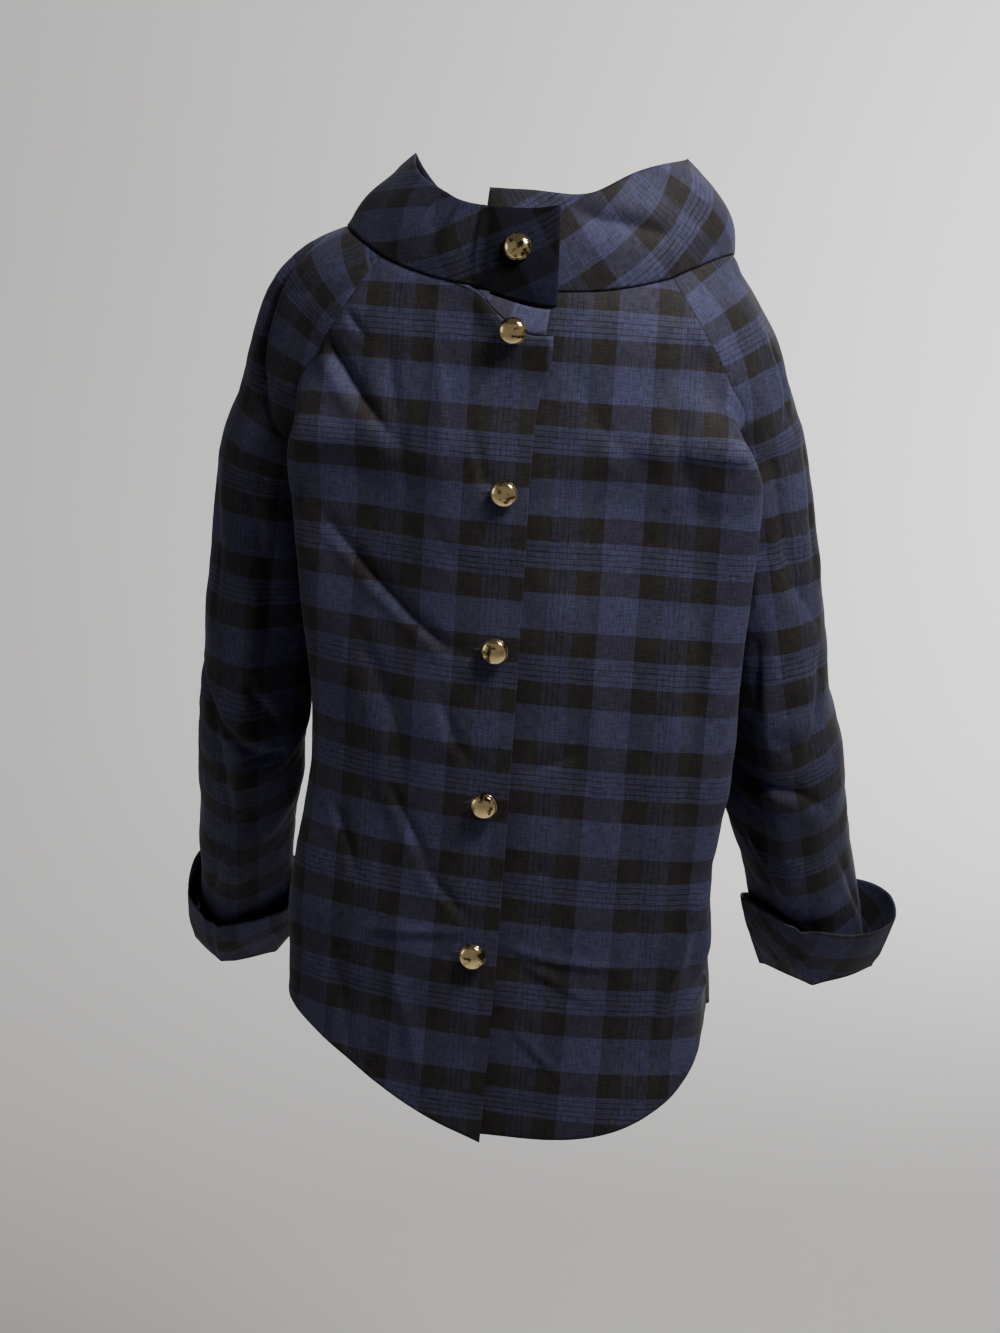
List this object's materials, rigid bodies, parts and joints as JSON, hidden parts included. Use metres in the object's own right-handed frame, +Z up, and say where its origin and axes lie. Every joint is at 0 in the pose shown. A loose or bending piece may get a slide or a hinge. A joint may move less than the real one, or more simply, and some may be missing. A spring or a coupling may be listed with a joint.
{
  "type": "cowl neck top",
  "caption": "Loose hip-length raglan top in dark tartan with a stand-away funnel collar, turned-up cuffs and domed metal buttons down its lapped back; hollow, in its worn shape.",
  "frame": {"origin": "the middle of the neck seam at shoulder height, where the garment rests on the wearer's shoulders", "axes": "+Z up, the front faces -Y and the buttoned back faces +Y, +X is the wearer's left"},
  "size_m": [0.5927, 0.2973, 0.7563],
  "materials": {
    "plaid_cloth": "crisp dark tartan cotton with a slight sheen",
    "gold_button": "polished gold"
  },
  "bodies": {
    "root": {"back_left": "plaid_cloth", "back_right": "plaid_cloth", "front": "plaid_cloth", "sleeve_left": "plaid_cloth", "sleeve_right": "plaid_cloth", "collar": "plaid_cloth", "neck_facing": "plaid_cloth", "cuff_left": "plaid_cloth", "cuff_right": "plaid_cloth", "button_1": "gold_button", "button_2": "gold_button", "button_3": "gold_button", "button_4": "gold_button", "button_5": "gold_button", "button_6": "gold_button"}
  },
  "joints": []
}
